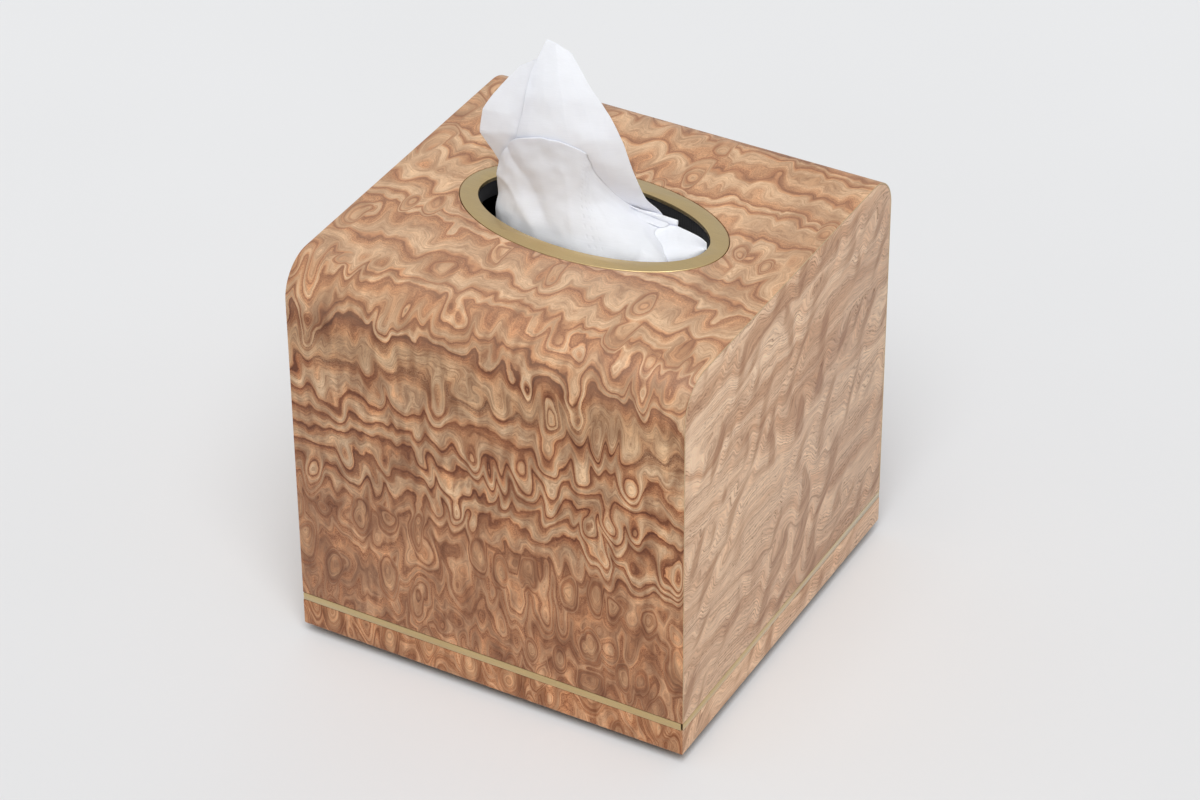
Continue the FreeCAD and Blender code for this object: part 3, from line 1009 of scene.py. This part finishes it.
class TISSUECOVER_OT_ring(PieceOperator, bpy.types.Operator):
    """Oval brass ring let into the top"""

    bl_idname = "tissue_cover.ring"
    bl_label = "Mouth ring"

    def make(self):
        size = sizes()
        low, high = RING_LOW.z, RING_HIGH.z
        ring = oval_bar("mouth_ring", RING_HIGH.x, RING_HIGH.y, low, high)
        width = size.ring_width
        half_length, half_width = RING_HIGH.x - width, RING_HIGH.y - width
        cut_out(ring, oval_bar("mouth", half_length, half_width, low - MM, high + MM))
        ease_edges(ring, size.ease * 1.6, segments=3)
        brushed = bpy.data.node_groups["brushed_metal"]
        metal = brass("ring_brass", brushed, lambda g, x, y, z: (x, y))
        dressed(ring, "cover", metal, "brass", "opening_ring")


class TISSUECOVER_OT_linings(PieceOperator, bpy.types.Operator):
    """Black cloth inside the cover and round the mouth"""

    bl_idname = "tissue_cover.linings"
    bl_label = "Linings"

    def make(self):
        cloth = lining_cloth(woven_group())
        for node in ("wrap_lining", "left_lining", "right_lining", "opening_collar"):
            piece = merged_copy(node, f"{node}_cloth")
            ease_edges(piece, sizes().cloth_ease)
            dressed(piece, "cover", cloth, "lining", node)


class TISSUECOVER_OT_felt(PieceOperator, bpy.types.Operator):
    """Felt sheet under the base board"""

    bl_idname = "tissue_cover.felt"
    bl_label = "Base felt"

    def make(self):
        size = sizes()
        low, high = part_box("base_felt")
        sheet = block("felt_sheet", low, high)
        round_edges(sheet, lambda at, way: abs(way.z) > NEAR_AXIS, size.felt_corner, 6)
        ease_edges(sheet, size.felt_ease)
        dressed(sheet, "base", felt_cloth(), "felt", "base_felt")


class TISSUECOVER_OT_boards(PieceOperator, bpy.types.Operator):
    """Finishes of the boards, blocks and magnets that keep their CAD shape"""

    bl_idname = "tissue_cover.boards"
    bl_label = "Boards and magnets"

    def make(self):
        core = pressed_board("core_board", "core", 0.22)
        base = pressed_board("base_board", "base", 0.5)
        plated = plated_magnet()
        sides = ("left", "right", "front", "back", "top")
        finishes = {f"{side}_panel": core for side in sides}
        finishes.update(front_shoulder=core, back_shoulder=core, corner_blocks=core)
        finishes.update(base_board=base, cover_magnets=plated, base_magnets=plated)
        for node, finish in finishes.items():
            mesh = frame["nodes"][node].data
            mesh.materials.clear()
            mesh.materials.append(finish)


class TISSUECOVER_OT_pile(PieceOperator, bpy.types.Operator):
    """Pile of folded tissues on the base"""

    bl_idname = "tissue_cover.pile"
    bl_label = "Tissue pile"

    def make(self):
        size = sizes()
        draw = random.Random(SEED)
        count = int((STACK_HIGH.z - STACK_LOW.z) / size.folded)
        step = (STACK_HIGH.z - STACK_LOW.z) / count
        thick, fold, cut = step * 0.94, step * 0.4, step * 0.22
        shy = size.pile_shy
        low = Vector((STACK_LOW.x + shy, STACK_LOW.y + shy, STACK_LOW.z))
        high = Vector((STACK_HIGH.x - shy, STACK_HIGH.y - shy, STACK_LOW.z + thick))
        first = block("tissue_pile", low, high)
        round_edges(first, lambda at, way: abs(way.z) > NEAR_AXIS, size.pile_corner, 4)
        back = high.y - MM
        round_edges(first, lambda at, way: abs(way.x) > NEAR_AXIS and at.y > back, fold, 4)
        ease_edges(first, cut)
        layers = [first]
        for number in range(1, count):
            layer = copied(first, f"folded_{number}")
            flip = Matrix.Rotation(math.pi * (number % 2), 4, "Z")
            shift = Vector((draw.uniform(-1, 1), draw.uniform(-1, 1), 0)) * shy * 0.6
            shift.z = number * step
            layer.data.transform(Matrix.Translation(shift) @ flip)
            layers.append(layer)
        pile = joined(layers)
        dressed(pile, "base", pile_paper(crepe_group()), "tissue_stack", "tissue_stack")


# Fold lines of the drawn tissue, in millimetres from the middle of the mouth, each from left to right

POUCH = (
    # Front ply: in the neck, then along the front of the ring
    ((-29.5, 2, -10), (-32, -4, -10), (-29, -9, -10), (-22, -13, -10), (-12, -15.5, -10),
     (-1.5, -17, -10), (8.5, -17, -10), (17, -15.5, -10), (24, -13, -10), (28, -8.5, -10), (28, -2.5, -10)),
    ((-29.5, 2, -2), (-32, -4, -1), (-29.5, -8.5, -1), (-23, -12.5, -1.5), (-13.5, -15, -2),
     (-3, -16, -2), (7, -16, -2.5), (15.5, -14.5, -2.5), (23, -12, -2.5), (28.5, -8, -3.5), (28.5, -3, -6)),
    # Across the belly and up to the free edge
    ((-33, -1, 0), (-31.5, -5, 2.5), (-27, -8.5, 6), (-21.5, -10.5, 8.5), (-13.5, -11.5, 10.5),
     (-5.5, -11, 12), (1, -10, 11), (6, -8, 9), (11, -5, 6.5), (17.5, -1, 2), (22.5, 2.5, -2)),
    ((-32.5, -2, 7.5), (-31, -5.5, 9.5), (-27, -8, 14), (-22.5, -9.5, 18.5), (-14, -10, 21),
     (-6.5, -9.5, 21.5), (0.5, -8, 20), (3, -6, 16), (7.5, -3, 10.5), (14, 1.5, 3.5), (23.5, 5, 0)),
    ((-32, -2.5, 12.5), (-30.5, -5.5, 15), (-26.5, -7.5, 21), (-22.5, -9, 26.5), (-14.5, -9.5, 29.5),
     (-6, -9, 30), (1.5, -6.5, 27), (3.5, -4.5, 21.5), (6.5, -2.5, 14), (13, 2.5, 5.5), (24, 7, 1.5)),
)
BACK = (
    # Bright run of the back ply: the tip
    ((-18.5, 4.5, 56), (-17, 4.5, 56), (-15, 4, 56), (-12, 4, 55), (-9, 4, 54)),
    ((-21, -1, 47), (-16, -1.5, 48), (-11, -1.5, 48.5), (-6.5, -0.5, 48), (-2.5, 1.5, 47.5)),
    ((-21, -4.5, 40.5), (-14, -5, 42), (-8, -4.5, 42.5), (-2, -2.5, 42), (3, 1, 41)),
    ((-21.5, -6.5, 34), (-13.5, -7, 36), (-6, -6.5, 36.5), (1, -3.5, 36.5), (7, 0.5, 36)),
    # Behind the free edge of the front ply
    ((-22.5, -8, 27), (-12.5, -9, 29), (-3.5, -8, 29.5), (4, -5, 31), (10, 0.5, 30.5)),
    ((-24, -7, 22), (-13, -7.5, 23), (-3, -6.5, 23.5), (6.5, -4.5, 23.5), (12.5, 1, 23)),
    ((-26.5, -6, 12), (-13.5, -6.5, 15), (-2.5, -5, 15), (7.5, -2.5, 15.5), (15, 2, 15.5)),
    ((-28.5, -4, -1), (-15, -4.5, 2.5), (-1.5, -2.5, 5), (9.5, 1, 6.5), (17, 4, 9)),
    # In the mouth
    ((-26, 1, -2), (-14, 2, -2), (-1, 3.5, -2), (12, 5.5, -2), (22, 8, -1.5)),
)
WING = (
    # Corner of the back ply that stands out at the left
    ((-23, 2.5, 48), (-21.5, 2.5, 49.5), (-19.5, 2.5, 50.5)),
    ((-26.5, 2, 46), (-23, 1.5, 46.5), (-18, 1, 47.5)),
    ((-34, -2, 36), (-27, -2.5, 36.5), (-18, -4, 38)),
    ((-37, -4, 30.5), (-28.5, -4.5, 31.5), (-18.5, -5.5, 32.5)),
    ((-37.5, -5, 22.5), (-29, -6, 25), (-19, -7, 27.5)),
    ((-31.5, -4, 13.5), (-26.5, -5, 14), (-21, -5.5, 14)),
    ((-32, -1.5, 4), (-28, -2, 5), (-22.5, -2.5, 5)),
    ((-28.5, 2.5, -2), (-24.5, 2.5, -2), (-19, 3, -2)),
)
FLAP = (
    # Loose end that fills the right of the mouth, from front to back
    ((23, -5.5, -6.5), (28.5, -4, -6), (33, -1.5, -5.5), (36, 1.5, -5), (37.5, 3.5, -4.5)),
    ((23, -2.5, -3.5), (26.5, 0.5, -3), (31, 2.5, -3), (34.5, 4, -3), (38, 4.5, -3.5)),
    ((19.5, 4, -1.5), (22.5, 7.5, -0.5), (28, 7.5, -1), (33, 6.5, -1.5), (37, 5.5, -2.5)),
)
ROLL = (
    # Rolled end of the free edge: its middle line with the radius at each point
    ((12.5, 1.5, 6.5), 0.15),
    ((16, 4, 4), 0.5),
    ((19.5, 5.5, 3), 0.8),
    ((22.5, 7, 1.5), 1.05),
    ((26, 7.5, 1), 1.0),
)
STACK_LEVEL = (STACK_HIGH.z - RING_HIGH.z) / MM + 0.1  # just above the stack


def let_down(line, level, share):
    """Line at a lower level, drawn in to a share of its size."""
    return [(x * share, y * share, level) for x, y, _ in line]


def rolled(line, first=140, step=-55, turns=7):
    """Lines of a roll round a middle line, open at the back. Angles are in degrees."""
    outward, upward = Vector((0.3, -0.95, 0)), Vector((0, 0, 1))
    lines = []
    for turn in range(turns):
        angle = math.radians(first + step * turn)
        way = outward * math.cos(angle) + upward * math.sin(angle)
        lines.append([Vector(middle) + way * radius for middle, radius in line])
    return lines


def curve_through(points, share, crisp):
    """Point at a share of a curve through the points, smooth at crisp 0 and straight runs at 1."""
    last = len(points) - 1
    at = min(int(share * last), last - 1)
    t = share * last - at
    before, start = points[max(at - 1, 0)], points[at]
    end, after = points[at + 1], points[min(at + 2, last)]
    smooth_point = 0.5 * (
        2 * start
        + (end - before) * t
        + (2 * before - 5 * start + 4 * end - after) * t * t
        + (3 * start - before - 3 * end + after) * t * t * t
    )
    return smooth_point.lerp(start.lerp(end, t), crisp)


# Creases of the front ply: both ends in shares across and up the sheet, depth and width in millimetres

CREASES = (
    ((0.2, 1.0), (0.44, 0.57), 0.9, 6.0),
    ((0.1, 0.84), (0.4, 0.54), -0.7, 5.0),
    ((0.97, 0.76), (0.77, 0.47), 1.3, 4.0),
    ((0.62, 0.98), (0.72, 0.6), 0.5, 6.0),
    ((0.52, 0.8), (0.56, 0.5), -0.5, 7.0),
)


def creased(spot, creases, width, run):
    """Depth of the creases at a spot given in shares of the sheet's width and run."""
    depth = 0.0
    here = Vector((spot[0] * width, spot[1] * run))
    for start, end, deep, reach in creases:
        start, end = (Vector((a * width, b * run)) for a, b in (start, end))
        way = end - start
        share = min(max((here - start).dot(way) / way.length_squared, 0.0), 1.0)
        near = 1.0 - (here - start - way * share).length / (reach * MM)
        depth += deep * MM * max(near, 0.0) ** 2
    return depth


WAVES = ((130, 0.6), (300, 0.25))  # bumps of the crinkle in a metre, and their share of its height


def draped(name, rows, crinkle, crisp=0.0, creases=(), across=96, along=96):
    """Sheet through rows of points, with creases, fine crinkles and a map in its own flat sizes."""
    mouth = Vector((0, 0, RING_HIGH.z))
    rows = [[mouth + Vector(point) * MM for point in row] for row in rows]
    lines = []
    for i in range(across + 1):
        line = [curve_through(row, i / across, crisp) for row in rows]
        lines.append([curve_through(line, j / along, crisp) for j in range(along + 1)])
    form = bmesh.new()
    flat = form.loops.layers.uv.new("UVMap")
    # Flat sizes along the third row and the middle column
    width = sum((b - a).length for a, b in zip(rows[2], rows[2][1:]))
    middle = [row[len(row) // 2] for row in rows]
    run = sum((b - a).length for a, b in zip(middle, middle[1:]))
    corners = {}
    for i, line in enumerate(lines):
        for j, point in enumerate(line):
            shake = sum((noise.noise_vector(point * pace) * share for pace, share in WAVES), Vector())
            inward = Vector((0, creased((i / across, j / along), creases, width, run), 0))
            corners[i, j] = form.verts.new(point + shake * crinkle + inward)
    for i in range(across):
        for j in range(along):
            spots = ((i, j), (i + 1, j), (i + 1, j + 1), (i, j + 1))
            face = form.faces.new([corners[spot] for spot in spots])
            face.smooth = True
            for loop, (a, b) in zip(face.loops, spots):
                loop[flat].uv = (a / across * width, b / along * run)
    mesh = bpy.data.meshes.new(name)
    form.to_mesh(mesh)
    form.free()
    made = bpy.data.objects.new(name, mesh)
    bpy.context.scene.collection.objects.link(made)
    return made


class TISSUECOVER_OT_tissue(PieceOperator, bpy.types.Operator):
    """Tissue drawn up through the mouth"""

    bl_idname = "tissue_cover.tissue"
    bl_label = "Drawn tissue"

    def make(self):
        size = sizes()
        noise.seed_set(SEED)
        neck = POUCH[0]
        gathered = [let_down(neck, STACK_LEVEL, 0.72), let_down(neck, STACK_LEVEL / 2 - 4, 0.88)]
        back, wing = (let_down(table[-1], STACK_LEVEL, 0.8) for table in (BACK, WING))
        front, rear = (let_down(FLAP[row], STACK_LEVEL / 2 - 2, 0.95) for row in (0, -1))
        parts = [
            draped("drawn_tissue", [*gathered, *POUCH], crinkle=0.0008, crisp=0.1, creases=CREASES),
            draped("back_ply", [*BACK, back], crinkle=0.0005, crisp=0.3),
            draped("wing_ply", [*WING, wing], crinkle=0.0004, crisp=0.7),
            draped("loose_end", [front, *FLAP, rear], crinkle=0.0004),
            draped("rolled_end", rolled(ROLL), crinkle=0.0003),
        ]
        tissue = joined(parts)
        thicken(tissue, size.paper, offset=0)
        paper = tissue_paper(bpy.data.node_groups["creped_paper"])
        dressed(tissue, "tissue", paper, "tissue", "pulled_tissue")


# Sky's level as a light, in metal and as seen
SKY_LIGHT, SKY_IN_METAL, SKY_SEEN = 0.4, 0.61, 0.83

# Camera as fitted to the photograph

LENS = 122.5
CAMERA_TURN = math.radians(29.38)
CAMERA_RISE = math.radians(35.22)
CAMERA_ROLL = math.radians(-0.445)
CAMERA_AWAY = 1.3087
CAMERA_AIM = Vector((0.00462, -0.00476, 0.07765))

FLOOR_SPAN = 14.0
LAMP_AIM = Vector((0, 0, 0.07))
# Name, place, width and power in watts
LAMPS = (("key", (2.15, -3.65, 6.8), 5.0, 396.0), ("fill", (0.2, -1.0, 8.8), 4.8, 118.0))


class TISSUECOVER_OT_stage(PieceOperator, bpy.types.Operator):
    """Floor, lamps, world and camera"""

    bl_idname = "tissue_cover.stage"
    bl_label = "Studio"

    def make(self):
        scene = bpy.context.scene
        scene.view_settings.view_transform = "Standard"
        self.floor()
        self.world(scene)
        for lamp in LAMPS:
            self.lamp(*lamp)
        self.camera(scene)

    def floor(self):
        deselect()
        bpy.ops.mesh.primitive_plane_add(size=1, scale=(FLOOR_SPAN, FLOOR_SPAN, 1))
        floor = named("studio_floor")
        floor.data.materials.append(studio_floor())

    def world(self, scene):
        """Even sky that lights softly, looks like the floor to the camera and is dimmer in metal."""
        world = bpy.data.worlds.new("studio")
        scene.world = world
        world.use_nodes = True
        world.node_tree.nodes.clear()
        g = Graph(world.node_tree)
        path = g.add("ShaderNodeLightPath").outputs
        seen = g.math("MAXIMUM", path["Is Camera Ray"], path["Is Transmission Ray"])
        level = g.fade(path["Is Glossy Ray"], SKY_LIGHT, SKY_IN_METAL)
        level = g.fade(seen, level, SKY_SEEN)
        sky = g.add("ShaderNodeBackground", {"Color": (1, 1, 1, 1), "Strength": level})
        g.add("ShaderNodeOutputWorld", {"Surface": sky.outputs[0]})

    def lamp(self, name, place, size, power):
        data = bpy.data.lights.new(name, "AREA")
        data.shape = "DISK"
        data.size = size
        data.energy = power
        lamp = bpy.data.objects.new(name, data)
        lamp.location = place
        way = LAMP_AIM - Vector(place)
        lamp.rotation_euler = way.to_track_quat("-Z", "Y").to_euler()
        bpy.context.scene.collection.objects.link(lamp)

    def camera(self, scene):
        data = bpy.data.cameras.new("camera")
        data.sensor_width = 36.0
        data.lens = LENS
        data.clip_start, data.clip_end = 0.05, 60.0
        camera = bpy.data.objects.new("camera", data)
        right = Vector((math.cos(CAMERA_TURN), math.sin(CAMERA_TURN), 0))
        level = Vector((right.y, -right.x, 0))
        back = level * math.cos(CAMERA_RISE) + Vector((0, 0, math.sin(CAMERA_RISE)))
        up = back.cross(right)
        cosine, sine = math.cos(CAMERA_ROLL), math.sin(CAMERA_ROLL)
        axes = (cosine * right + sine * up, cosine * up - sine * right, back)
        turned = Matrix(axes).transposed().to_4x4()
        camera.matrix_world = Matrix.Translation(CAMERA_AIM + back * CAMERA_AWAY) @ turned
        scene.collection.objects.link(camera)
        scene.camera = camera


OPERATORS = (
    TISSUECOVER_OT_wrap,
    TISSUECOVER_OT_sides,
    TISSUECOVER_OT_strips,
    TISSUECOVER_OT_ring,
    TISSUECOVER_OT_linings,
    TISSUECOVER_OT_felt,
    TISSUECOVER_OT_boards,
    TISSUECOVER_OT_pile,
    TISSUECOVER_OT_tissue,
    TISSUECOVER_OT_stage,
)


class TISSUECOVER_PT_panel(bpy.types.Panel):
    """Lists the pieces"""

    bl_idname = "TISSUECOVER_PT_panel"
    bl_label = "Tissue box cover"
    bl_space_type = "VIEW_3D"
    bl_region_type = "UI"
    bl_category = "Tissue cover"

    def draw(self, context):
        for operator in OPERATORS:
            self.layout.operator(operator.bl_idname)
        for group in (sizes(), colours()):
            box = self.layout.box()
            for name in group.__annotations__:
                box.prop(group, name)


CLASSES = (TissueCoverSizes, TissueCoverColours, *OPERATORS, TISSUECOVER_PT_panel)


def register():
    for kind in CLASSES:
        bpy.utils.register_class(kind)
    scene = bpy.types.Scene
    scene.tissue_cover_sizes = bpy.props.PointerProperty(type=TissueCoverSizes)
    scene.tissue_cover_colours = bpy.props.PointerProperty(type=TissueCoverColours)


def unregister():
    del bpy.types.Scene.tissue_cover_sizes
    del bpy.types.Scene.tissue_cover_colours
    for kind in reversed(CLASSES):
        bpy.utils.unregister_class(kind)


def main():
    register()
    for operator in OPERATORS:
        group, name = operator.bl_idname.split(".")
        getattr(getattr(bpy.ops, group), name)()


if __name__ == "__main__":
    main()
